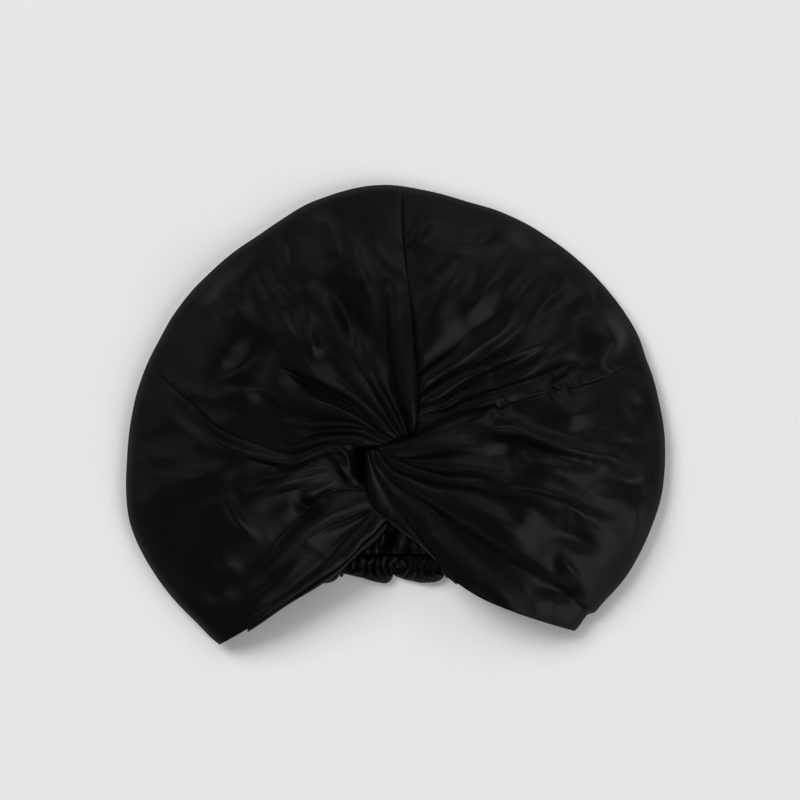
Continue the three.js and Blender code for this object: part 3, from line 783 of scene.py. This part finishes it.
@dataclass
class Panel:
    """One cloth panel, from the twist over the front and round the rim to the nape.

    nape says where its sides meet the casing, as shares of half the casing's span. tuck is how far its start
    reaches under its neighbour. The underside gathers, gathers mm tall and a gather_pitch apart, within
    gather_reach of the casing.
    """

    name: str
    form: Form
    lines: tuple[FoldLine, ...]
    nape: tuple[float, float]
    cut: Cut
    pits: tuple[Pit, ...] = ()
    tuck: float = 0.0
    cloth: float = 1.3
    spacing: float = 1.25
    front_rows: int = 150
    rim_rows: int = 9
    back_rows: int = 44
    nape_line: float = 67.0
    nape_half: float = 70.0
    nape_turn: float = 34.0
    gathers: float = 8.0
    gather_pitch: float = 5.6
    gather_reach: float = 60.0
    fewest: int = 14
    lean_share: float = 0.34
    arch: float = 0.72
    sharp: tuple[float, float] = (0.12, 0.55)
    crinkle: float = 0.12
    crinkle_width: float = 14.0
    lift_share: float = 0.6
    lift_run: float = 14.0
    fold_width: float = 22.0
    wrinkle: Noise = field(default_factory=lambda: Noise(33))

    def of(self, key: str) -> np.ndarray:
        """One value of each fold line."""
        return np.array([getattr(line, key) for line in self.lines], float)

    def columns(self) -> np.ndarray:
        """Where the columns lie: the index of the fold line before, plus a share of the way to the next."""
        points = [self.form.rim.points(line.bearing) for line in self.lines]
        places = []
        for k, (a, b) in enumerate(zip(points[:-1], points[1:])):
            count = max(self.fewest, int(np.linalg.norm(b - a) / self.spacing))
            places.append(k + np.linspace(0, 1, count, endpoint=False))
        return np.concatenate([*places, [len(self.lines) - 1]])

    def tucked(self, path: Path) -> Path:
        """A charted path that starts further in, under its neighbour."""
        start, after = np.array(path[0], float), np.array(path[1], float)
        ahead = (after - start) / np.linalg.norm(after - start)
        return (tuple(start - ahead * self.tuck / CHART), *path) if self.tuck else path

    def fold(self, turn: np.ndarray, share: np.ndarray, gone: np.ndarray, spread: np.ndarray,
             k: np.ndarray) -> np.ndarray:
        """Height of the folds between the lines.

        Args:
            turn: place between two lines, from 0 to 1, by column.
            share: place along the line, from 0 to 1.
            gone: distance from the twist in mm.
            spread: distance between the two lines in mm.
            k: index of the line before, by column.

        Returns:
            A height in mm for each column and row.
        """
        reach, begin, crest, steep = (self.of(key)[k] for key in ("reach", "begin", "crest", "steep"))
        fade = 1 - smooth(share, reach * 0.5, reach)
        height = np.minimum(crest, steep * spread) * fade
        sharp = 1 - smooth(share, *self.sharp)
        arch = np.clip(4 * turn * (1 - turn), 0, 1) ** self.arch
        shape = arch * sharp + np.sin(math.pi * turn) ** 2 * (1 - sharp)
        small = self.wrinkle(turn * 3.0 + 5.1 * k, share * 5.0)
        ripple = self.crinkle * small * np.minimum(spread / self.crinkle_width, 1) * fade
        return (height + ripple) * shape * smooth(gone, begin - 3, begin + 10)

    def front(self, u: np.ndarray) -> np.ndarray:
        """Lays the columns over the front, from the twist to the rim.

        Args:
            u: where the columns lie.

        Returns:
            Outer points by column and row.
        """
        form, lines = self.form, self.lines
        k = np.minimum(u.astype(int), len(lines) - 2)
        turn = u - k
        top = 0.5 + self.lean_share * self.of("lean")[k]
        across = np.where(turn < 0.5, turn * 2 * top, top + (turn - 0.5) * 2 * (1 - top))

        def mixed(values: np.ndarray) -> np.ndarray:
            """Mixes two neighbouring lines' values by each column's place between them."""
            by = across.reshape(-1, *[1] * (values.ndim - 1))
            return values[k] * (1 - by) + values[k + 1] * by

        laid = [form.line(self.tucked(line.path), line.bearing) for line in lines]
        curves, lengths = np.stack([line[0] for line in laid]), np.array([line[1] for line in laid])
        swell = form.rim.points(mixed(self.of("bearing"))) - mixed(curves[:, -1])
        length = mixed(lengths)[:, None]
        edge = 1 - form.rim_run / length * 1.05
        angles = np.radians(np.linspace(90, 0, self.rim_rows + 1)[1:])
        share = np.concatenate(
            [edge * np.linspace(0, 1, self.front_rows) ** 1.25, 1 - (1 - edge) * (1 - np.cos(angles))], axis=1
        )
        at = np.clip(share, 0, 1) * (LINE_POINTS - 1)
        low = np.minimum(at.astype(int), LINE_POINTS - 2)
        part = (at - low)[..., None]
        first, second = (
            curves[n[:, None], low] * (1 - part) + curves[n[:, None], low + 1] * part for n in (k, k + 1)
        )
        plan = first * (1 - across[:, None, None]) + second * across[:, None, None]
        plan = plan + swell[:, None] * share[..., None] ** 2
        gone = share * length
        spread = np.linalg.norm(first - second, axis=-1)
        z = form.front(plan) + self.fold(turn[:, None], share, gone, spread, k[:, None])
        lift, dive, run = (mixed(self.of(key))[:, None] for key in ("lift", "dive", "run"))
        z += lift * (1 - smooth(share, 0, self.lift_share)) * smooth(gone, 0, self.lift_run)
        z -= dive * np.maximum(0, 1 - gone / run) ** 2
        for pit in self.pits:
            z -= pit.sink(plan)
        return np.dstack([plan, np.maximum(z, form.rim_height)])

    def back(self, u: np.ndarray, start: np.ndarray) -> np.ndarray:
        """Lays the columns from the rim back along the underside, where they gather into the casing.

        Args:
            u: where the columns lie.
            start: their plan points on the rim.

        Returns:
            Outer points by column and row.
        """
        form = self.form
        nape = self.nape[0] + (self.nape[1] - self.nape[0]) * u / (len(self.lines) - 1)
        end = np.stack([nape * self.nape_half, np.full_like(u, -self.nape_line)], axis=1)
        bend = end + np.array([0, self.nape_turn])
        way = np.linalg.norm(start - bend, axis=1) + self.nape_turn
        curl = (form.rim_run / way * 1.1)[:, None]
        angles = np.radians(np.linspace(0, 90, self.rim_rows)[1:])
        finer = 1 - (1 - np.linspace(0, 1, self.back_rows + 1)[1:]) ** 2.2
        t = np.concatenate([curl * (1 - np.cos(angles)), curl + (1 - curl) * finer], axis=1)[..., None]
        back = (1 - t) ** 2 * start[:, None] + 2 * t * (1 - t) * bend[:, None] + t**2 * end[:, None]
        far = np.linalg.norm(back - end[:, None], axis=-1)
        phase = nape[:, None] * self.nape_half / self.gather_pitch
        wobble = 0.5 * self.wrinkle(phase / 2.6, far / 20.0)
        crest = np.abs(np.sin(math.pi * (phase + wobble))) ** 1.1
        stand = 0.5 + 0.4 * self.wrinkle(phase / 1.4 + 11, far / 16.0)
        gather = self.gathers * (1 - smooth(far, 0, self.gather_reach)) * crest * stand
        return np.dstack([back, form.under(back) + gather])

    def build(self, finish: bpy.types.Material) -> None:
        """Makes the panel and puts it in place."""
        u = self.columns()
        front = self.front(u)
        outer = np.concatenate([front, self.back(u, front[:, -1, :2])], axis=1)
        uv = laid_out(u[:, None] * self.fold_width, gone_along(outer.mean(0))[None])
        ClothWall(self.name, outer, uv, self.cloth).place(finish, Slot.SATIN, self.cut)


@dataclass(frozen=True)
class HemStrip:
    """A narrow turned hem beside a panel's free edge, from its inner line to its outer one.

    until is the share of the lines at which it ends, drop how far it lies below the panel and dip the extra
    drop of its outer edge. dive and run say how deep its start goes under the twist, and how soon.
    visible is the length that run is measured over, and flat the width and length of its weave.
    """

    name: str
    lines: tuple[tuple[Path, float], tuple[Path, float]]
    slot: Slot
    cut: Cut
    until: float
    drop: float
    cloth: float
    dive: float
    run: float
    lift: float = 0.0
    turned: bool = False
    rows: int = 110
    columns: int = 15
    plump: float = 1.6
    plump_share: float = 0.22
    dip: float = 1.4
    visible: float = 90.0
    lift_share: float = 0.9
    flat: tuple[float, float] = (10.0, 100.0)

    def build(self, form: Form, finish: bpy.types.Material) -> None:
        """Makes the strip and puts it in place.

        Args:
            form: the turban's soft form.
            finish: its material.
        """
        at = np.linspace(0.0, self.until, self.rows)
        knots = np.linspace(0, 1, LINE_POINTS)
        sides = [form.line(path, bearing)[0] for path, bearing in self.lines]
        a, b = (np.stack([np.interp(at, knots, side[:, c]) for c in (0, 1)], 1) for side in sides)
        t = np.linspace(0, 1, self.columns)[:, None]
        plan = a[None] * (1 - t[..., None]) + b[None] * t[..., None]
        share = np.linspace(0, 1, self.rows)[None]
        z = form.front(plan) - self.drop + self.lift * (1 - smooth(share, 0, self.lift_share))
        z -= self.dive * (1 - smooth(self.visible * share, 0.3 * self.run, self.run))
        width = np.linalg.norm(a - b, axis=1)[None]
        z += np.minimum(self.plump, self.plump_share * width) * np.sin(math.pi * t) ** 0.8 - self.dip * t**3
        outer = np.dstack([plan, z])
        uv = laid_out(t * self.flat[0], at[None] * self.flat[1])
        if self.turned:
            outer, uv = outer[::-1], uv[::-1]
        ClothWall(self.name, outer, uv, self.cloth).place(finish, self.slot, self.cut)


@dataclass
class Nape:
    """The gathered elastic casing and the ruffle below it, with sizes in mm.

    grooves and lobes are places across the nape. A lobe has a start, an end and the power that moves its
    widest place to the end. A tube has the height of its middle and its half height, and a stitch its place
    from the casing's lower edge, its width and its depth. The frill is as wide as its first value, and by its
    second more on a long lobe.
    """

    half: float = 68.0
    line: float = 67.7
    width: float = 9.5
    spare: float = 4.3
    tall: float = 0.62
    widest: float = 4.2
    sway: float = 3.2
    tube: tuple[float, float] = (2.3, 2.2)
    stitch: tuple[float, float, float] = (1.8, 0.5, 2.0)
    casing_grid: tuple[int, int] = (520, 34)
    ruffle_grid: tuple[int, int] = (600, 34)
    frill: tuple[float, float] = (4.6, 3.6)
    frill_rise: tuple[float, float] = (1.2, 2.8)
    pinch: float = 0.34
    roundness: float = 0.42
    rough: float = 0.9
    casing_cut: Cut = Cut(200.0, 26.0, 0.95)
    ruffle_cut: Cut = Cut(155.0, 11.0, 0.95)
    noise: Noise = field(default_factory=lambda: Noise(5))
    grooves: tuple[float, ...] = (
        -23.4, -17.6, -13.2, -8.4, -4.2, 0.9, 4.9, 10.5, 14.2, 18.8, 21.3, 25.4,
    )
    lobes: tuple[tuple[float, float, float], ...] = (
        (-68, -50, 1), (-50, -33.5, 1), (-33.5, -30.5, 1), (-30.5, -1.2, 3.2), (-1.2, 29.3, 1.6),
        (29.3, 33, 1), (33, 50, 1), (50, 68, 1),
    )

    def pleats(self, x: np.ndarray) -> tuple[np.ndarray, np.ndarray]:
        """How the gathers stand.

        Args:
            x: places across the nape.

        Returns:
            How far each stands up between the two grooves beside it, from 0 to 1, and the grooves' distance.
        """
        left = np.arange(self.grooves[0] - self.spare, -self.half - self.spare, -self.spare)[::-1]
        right = np.arange(self.grooves[-1] + self.spare, self.half + self.spare, self.spare)
        ends = np.concatenate([left, self.grooves, right])
        k = np.clip(np.searchsorted(ends, x) - 1, 0, len(ends) - 2)
        width = ends[k + 1] - ends[k]
        between = np.clip((x - ends[k]) / width, 0, 1)
        return (4 * between * (1 - between)) ** 0.75, width

    def casing(self, finish: bpy.types.Material) -> None:
        """Makes the gathered tube over the elastic."""
        columns, around = self.casing_grid
        x = np.linspace(-self.half, self.half, columns)[:, None]
        turn = np.linspace(2 * math.pi, 0, around)[None]
        top = np.maximum(np.sin(turn), 0)
        bent = x + self.sway * self.noise(x / 7.0, 1.5 + 1.1 * np.cos(turn)) * top
        pleat, width = self.pleats(bent)
        patchy = 0.8 + 0.45 * self.noise(x / 4.0, 4.5 + 0.9 * np.cos(turn))
        y = -self.line - self.width / 2 + (self.width / 2 + 0.9) * np.cos(turn)
        gathers = np.minimum(width, self.widest) * self.tall * patchy * pleat * top**1.1
        z = self.tube[0] + self.tube[1] * np.sin(turn) + gathers
        z += self.rough * self.noise(x / 3.4, 1.3 * turn) * top
        place, wide, deep = self.stitch
        z -= deep * np.exp(-(((y + self.line + self.width - place) / wide) ** 2)) * top
        outer = np.dstack(np.broadcast_arrays(x, y + 0 * x, np.maximum(z, 0)))
        outer[:, -1] = outer[:, 0]
        uv = laid_out(x, turn * 3)
        ClothWall("nape_casing", outer, uv, 0.5, tube=True).place(finish, Slot.CASING, self.casing_cut)

    def ruffle(self, finish: bpy.types.Material) -> None:
        """Makes the scalloped frill that stands out below the casing, pinched between its lobes."""
        columns, rows = self.ruffle_grid
        x = np.linspace(self.half, -self.half, columns)[:, None]
        t = np.linspace(0, 1, rows)[None]
        table = np.array(self.lobes, float)
        k = np.clip(np.searchsorted(table[:, 0], x) - 1, 0, len(table) - 1)
        start, end, skew = table[k, 0], table[k, 1], table[k, 2]
        along = np.clip((x - start) / (end - start), 0, 1)
        lobe = np.sin(math.pi * along**skew) ** self.roundness
        large = smooth(end - start, 2, 14)
        reach = (self.frill[0] + self.frill[1] * large) * (self.pinch + (1 - self.pinch) * lobe)
        reach *= 1 + 0.05 * self.noise(x / 5.0, 2.2)
        shift = 0.55 * (along - 0.6) * (end - start) * t * large
        pleat, width = self.pleats(x - shift + 1.1 * self.noise(x / 4.0, 0.5 + 1.1 * t))
        y = -self.line - self.width - 0.2 - reach * t
        rise = self.frill_rise[0] + self.frill_rise[1] * large
        z = 2.6 + rise * lobe * np.sin(math.pi * (0.12 + 0.7 * t))
        z += 0.7 * np.minimum(width, 4) * pleat * (1 - t) ** 0.8 - 1.2 * t
        z += self.rough * self.noise(x / 5.0, t * 1.3 + 4) * t
        outer = np.dstack(np.broadcast_arrays(x, y, np.maximum(z, 0.9)))
        uv = laid_out(x, 8 * t)
        ClothWall("nape_ruffle", outer, uv, 0.8).place(finish, Slot.HEM, self.ruffle_cut)


class Nodes:
    """A node tree under construction."""

    def __init__(self, tree: bpy.types.NodeTree) -> None:
        """Takes the tree to build in."""
        self.tree = tree

    def add(self, kind: str, settings: dict[str, Any], values: dict[Any, Any], out: Any = 0) -> "Signal":
        """Adds a node.

        Args:
            kind: the node's type.
            settings: its own settings, which are set first.
            values: a value or a Signal for each of its sockets.
            out: the output to return.

        Returns:
            That output, wrapped.
        """
        node = self.tree.nodes.new(kind)
        for name, value in settings.items():
            setattr(node, name, value)
        for name, value in values.items():
            self.feed(node.inputs[name], value)
        return Signal(self, node.outputs[out])

    def noise(self, where: "Signal", scale: float, detail: float) -> "Signal":
        """Adds soft noise."""
        return self.add("ShaderNodeTexNoise", {}, {"Vector": where, "Scale": scale, "Detail": detail}, "Fac")

    def feed(self, socket: bpy.types.NodeSocket, value: Any) -> None:
        """Links a Signal to a socket, or sets its value."""
        if isinstance(value, Signal):
            self.tree.links.new(value.socket, socket)
        else:
            socket.default_value = value


@dataclass(frozen=True)
class Signal:
    """A node's output, with arithmetic."""

    nodes: Nodes
    socket: bpy.types.NodeSocket

    def math(self, operation: str, first: Any, second: Any) -> "Signal":
        """Adds a Math node over two signals or numbers."""
        return self.nodes.add("ShaderNodeMath", {"operation": operation}, {0: first, 1: second})

    def __add__(self, other: Any) -> "Signal":
        """This plus another."""
        return self.math("ADD", self, other)

    def __radd__(self, other: Any) -> "Signal":
        """Another plus this."""
        return self.math("ADD", other, self)

    def __mul__(self, other: Any) -> "Signal":
        """This times another."""
        return self.math("MULTIPLY", self, other)

    def __rmul__(self, other: Any) -> "Signal":
        """Another times this."""
        return self.math("MULTIPLY", other, self)

    def between(self, low: float, high: float) -> "Signal":
        """This eased from 0 at low to 1 at high."""
        settings = {"interpolation_type": "SMOOTHSTEP"}
        return self.nodes.add("ShaderNodeMapRange", settings, {0: self, 1: low, 2: high})


@dataclass(frozen=True)
class Satin:
    """Black satin: a fine diagonal weave, a broad soft gloss and a little unevenness of tone."""

    name: str
    dark: tuple[float, float, float]
    light: tuple[float, float, float]
    smoothest: float = 0.39
    roughest: float = 0.49
    specular: float = 0.145
    sheen: float = 0.02
    sheen_tint: tuple[float, float, float] = (0.9, 0.88, 0.86)
    weave: float = 0.06
    cloud_scale: float = 26.0
    thread_scale: float = 900.0

    def make(self) -> bpy.types.Material:
        """Makes the material."""
        material = bpy.data.materials.new(self.name)
        material.use_nodes = True
        nodes = Nodes(material.node_tree)
        surface = material.node_tree.nodes["Principled BSDF"]
        laid = nodes.add("ShaderNodeUVMap", {"uv_map": "cloth"}, {}, "UV")
        where = nodes.add("ShaderNodeTexCoord", {}, {}, "Object")
        cloud = nodes.noise(where, self.cloud_scale, 4.0)
        grain = nodes.noise(where, self.thread_scale, 2.0)
        twill = nodes.add("ShaderNodeTexWave", {"bands_direction": "DIAGONAL"},
                          {"Vector": laid, "Scale": self.thread_scale, "Distortion": 1.2, "Detail": 1.0},
                          "Fac")
        colour = nodes.add("ShaderNodeMix", {"data_type": "RGBA"},
                           {0: cloud, 6: (*self.dark, 1), 7: (*self.light, 1)}, 2)
        tone = 0.6 * cloud + 0.4 * grain
        rough = tone * (self.roughest - self.smoothest) + self.smoothest
        height = 0.6 * twill + 0.4 * grain
        bump = nodes.add("ShaderNodeBump", {}, {"Height": height, "Strength": self.weave, "Distance": 0.0002},
                         "Normal")
        finish = {"Base Color": colour, "Roughness": rough, "Normal": bump,
                  "Specular IOR Level": self.specular, "Sheen Weight": self.sheen, "Sheen Roughness": 0.35,
                  "Sheen Tint": (*self.sheen_tint, 1)}
        for name, value in finish.items():
            nodes.feed(surface.inputs[name], value)
        return material


@dataclass(frozen=True)
class Lamp:
    """One far, soft light: its bearing, its tilt from straight above and its width in degrees."""

    name: str
    bearing: float
    tilt: float
    width: float
    strength: float
    in_gloss: bool = False

    def build(self) -> None:
        """Adds the lamp to the scene."""
        data = bpy.data.lights.new(self.name, "SUN")
        data.energy = self.strength
        data.angle = math.radians(self.width)
        lamp = linked(self.name, data)
        lamp.rotation_euler = (0, math.radians(self.tilt), math.radians(self.bearing))
        lamp.visible_glossy = self.in_gloss


@dataclass(frozen=True)
class Glow:
    """A bright patch of the room: its bearing, tilt from straight above, core and reach in degrees."""

    bearing: float
    tilt: float
    core: float
    reach: float
    strength: float

    def shine(self, nodes: Nodes, way: Signal) -> Signal:
        """How bright it is in a direction.

        Args:
            nodes: the world's nodes.
            way: the direction.

        Returns:
            Its brightness there.
        """
        turn, tilt = math.radians(self.bearing), math.radians(self.tilt)
        aim = (math.sin(tilt) * math.cos(turn), math.sin(tilt) * math.sin(turn), math.cos(tilt))
        near = nodes.add("ShaderNodeVectorMath", {"operation": "DOT_PRODUCT"}, {0: way, 1: aim}, "Value")
        reach, core = (math.cos(math.radians(angle)) for angle in (self.reach, self.core))
        return self.strength * near.between(reach, core)


@dataclass
class Studio:
    """The pale floor, the soft lights and the camera straight above."""

    lens: float = 180.0
    sensor: float = 36.0
    view: float = 0.476
    aim: tuple[float, float] = (0.00297, 0.0074)
    floor_size: float = 3.0
    floor_grey: float = 0.84
    above_floor: float = 0.012
    overhead: float = 0.08
    horizon: float = 0.12
    horizon_up: tuple[float, float] = (0.6, 0.1)
    glows: tuple[Glow, ...] = (
        Glow(-38, 49, 5, 30, 2.9),
        Glow(62, 51, 5, 25, 1.9),
        Glow(146, 50, 5, 21, 1.5),
        Glow(196, 50, 8, 40, 0.12),
    )
    lamps: tuple[Lamp, ...] = (Lamp("key", 132, 48, 32, 1.95),)

    def floor(self) -> None:
        """Makes the large plain floor."""
        bm = bmesh.new()
        bmesh.ops.create_grid(bm, x_segments=1, y_segments=1, size=self.floor_size)
        material = bpy.data.materials.new("floor_paper")
        material.use_nodes = True
        nodes = Nodes(material.node_tree)
        surface = material.node_tree.nodes["Principled BSDF"]
        where = nodes.add("ShaderNodeTexCoord", {}, {}, "Object")
        grain = nodes.noise(where, 3.0, 2.0)
        nodes.feed(surface.inputs["Roughness"], 0.06 * grain + 0.88)
        nodes.feed(surface.inputs["Base Color"], (*[self.floor_grey] * 3, 1))
        nodes.feed(surface.inputs["Specular IOR Level"], 0.1)
        finished(bm, "floor", material)

    def camera(self) -> None:
        """Sets a long lens straight above, as in the photograph."""
        data = bpy.data.cameras.new("camera")
        data.lens = self.lens
        data.sensor_width = self.sensor
        data.clip_end = 20
        camera = linked("camera", data)
        camera.location = (*self.aim, self.view * self.lens / self.sensor + self.above_floor)
        bpy.context.scene.camera = camera

    def sky(self) -> None:
        """Lights the room: dim straight above, with a bright patch for each soft box."""
        world = bpy.data.worlds.new("studio")
        world.use_nodes = True
        nodes = Nodes(world.node_tree)
        way = nodes.add("ShaderNodeTexCoord", {}, {}, "Generated")
        up = nodes.add("ShaderNodeSeparateXYZ", {}, {"Vector": way}, "Z")
        strength = self.overhead + (self.horizon - self.overhead) * up.between(*self.horizon_up)
        for glow in self.glows:
            strength = strength + glow.shine(nodes, way)
        nodes.feed(world.node_tree.nodes["Background"].inputs["Color"], (1, 1, 1, 1))
        nodes.feed(world.node_tree.nodes["Background"].inputs["Strength"], strength)
        bpy.context.scene.world = world

    def build(self) -> None:
        """Sets up the whole studio."""
        self.floor()
        self.camera()
        self.sky()
        for lamp in self.lamps:
            lamp.build()
        bpy.context.scene.view_settings.view_transform = "Standard"


@dataclass
class Turban:
    """The whole turban: panels, hems and nape."""

    form: Form = field(default_factory=Form)
    nape: Nape = field(default_factory=Nape)
    satin: Satin = Satin("satin", (0.0015, 0.0012, 0.0012), (0.0024, 0.002, 0.002))
    hem_satin: Satin = Satin("hem_satin", (0.0018, 0.0015, 0.0015), (0.0029, 0.0024, 0.0024), 0.44, 0.54)

    def panels(self) -> tuple[Panel, ...]:
        """The four panels, from the left of the head opening round to its right."""
        form = self.form
        return (
            Panel("band_left", form, BAND_LEFT, (-1, -0.62), Cut(170, 250, 0.7), pits=(POCKET,)),
            Panel("crown_left", form, CROWN_LEFT, (-0.62, 0), Cut(215, 300, 0.68), pits=(CREVICE,), tuck=4.5),
            Panel("crown_right", form, CROWN_RIGHT, (0, 0.62), Cut(205, 290, 0.64), tuck=4.5),
            Panel("band_right", form, BAND_RIGHT, (0.62, 1), Cut(180, 260, 0.68)),
        )

    def strips(self) -> tuple[HemStrip, ...]:
        """The two turned hems beside the head opening."""
        return (
            HemStrip("hem_right", ((INNER_HEM, -46.8), (RIGHT_HEM, -47.6)), Slot.SATIN,
                     Cut(13, 85, 0.75, Hold.FOLDED), 0.56, 0.6, 1.2, 3, 3, lift=2.5),
            HemStrip("hem_left", ((LEFT_HEM, 229.4), (UNDER_HEM, 229.0)), Slot.HEM,
                     Cut(10, 75, 0.6, Hold.FOLDED), 0.85, 2.6, 0.9, 4, 5, turned=True),
        )

    def build(self) -> None:
        """Makes every piece, with its finish and its place in the frame."""
        satin, hem = self.satin.make(), self.hem_satin.make()
        for panel in self.panels():
            panel.build(satin)
        for strip in self.strips():
            strip.build(self.form, satin if strip.slot is Slot.SATIN else hem)
        self.nape.casing(hem)
        self.nape.ruffle(hem)


def main() -> None:
    """Builds the scene."""
    logging.basicConfig(level=logging.INFO, format="%(message)s")
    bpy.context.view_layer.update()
    Turban().build()
    Studio().build()


if __name__ == "__main__":
    main()
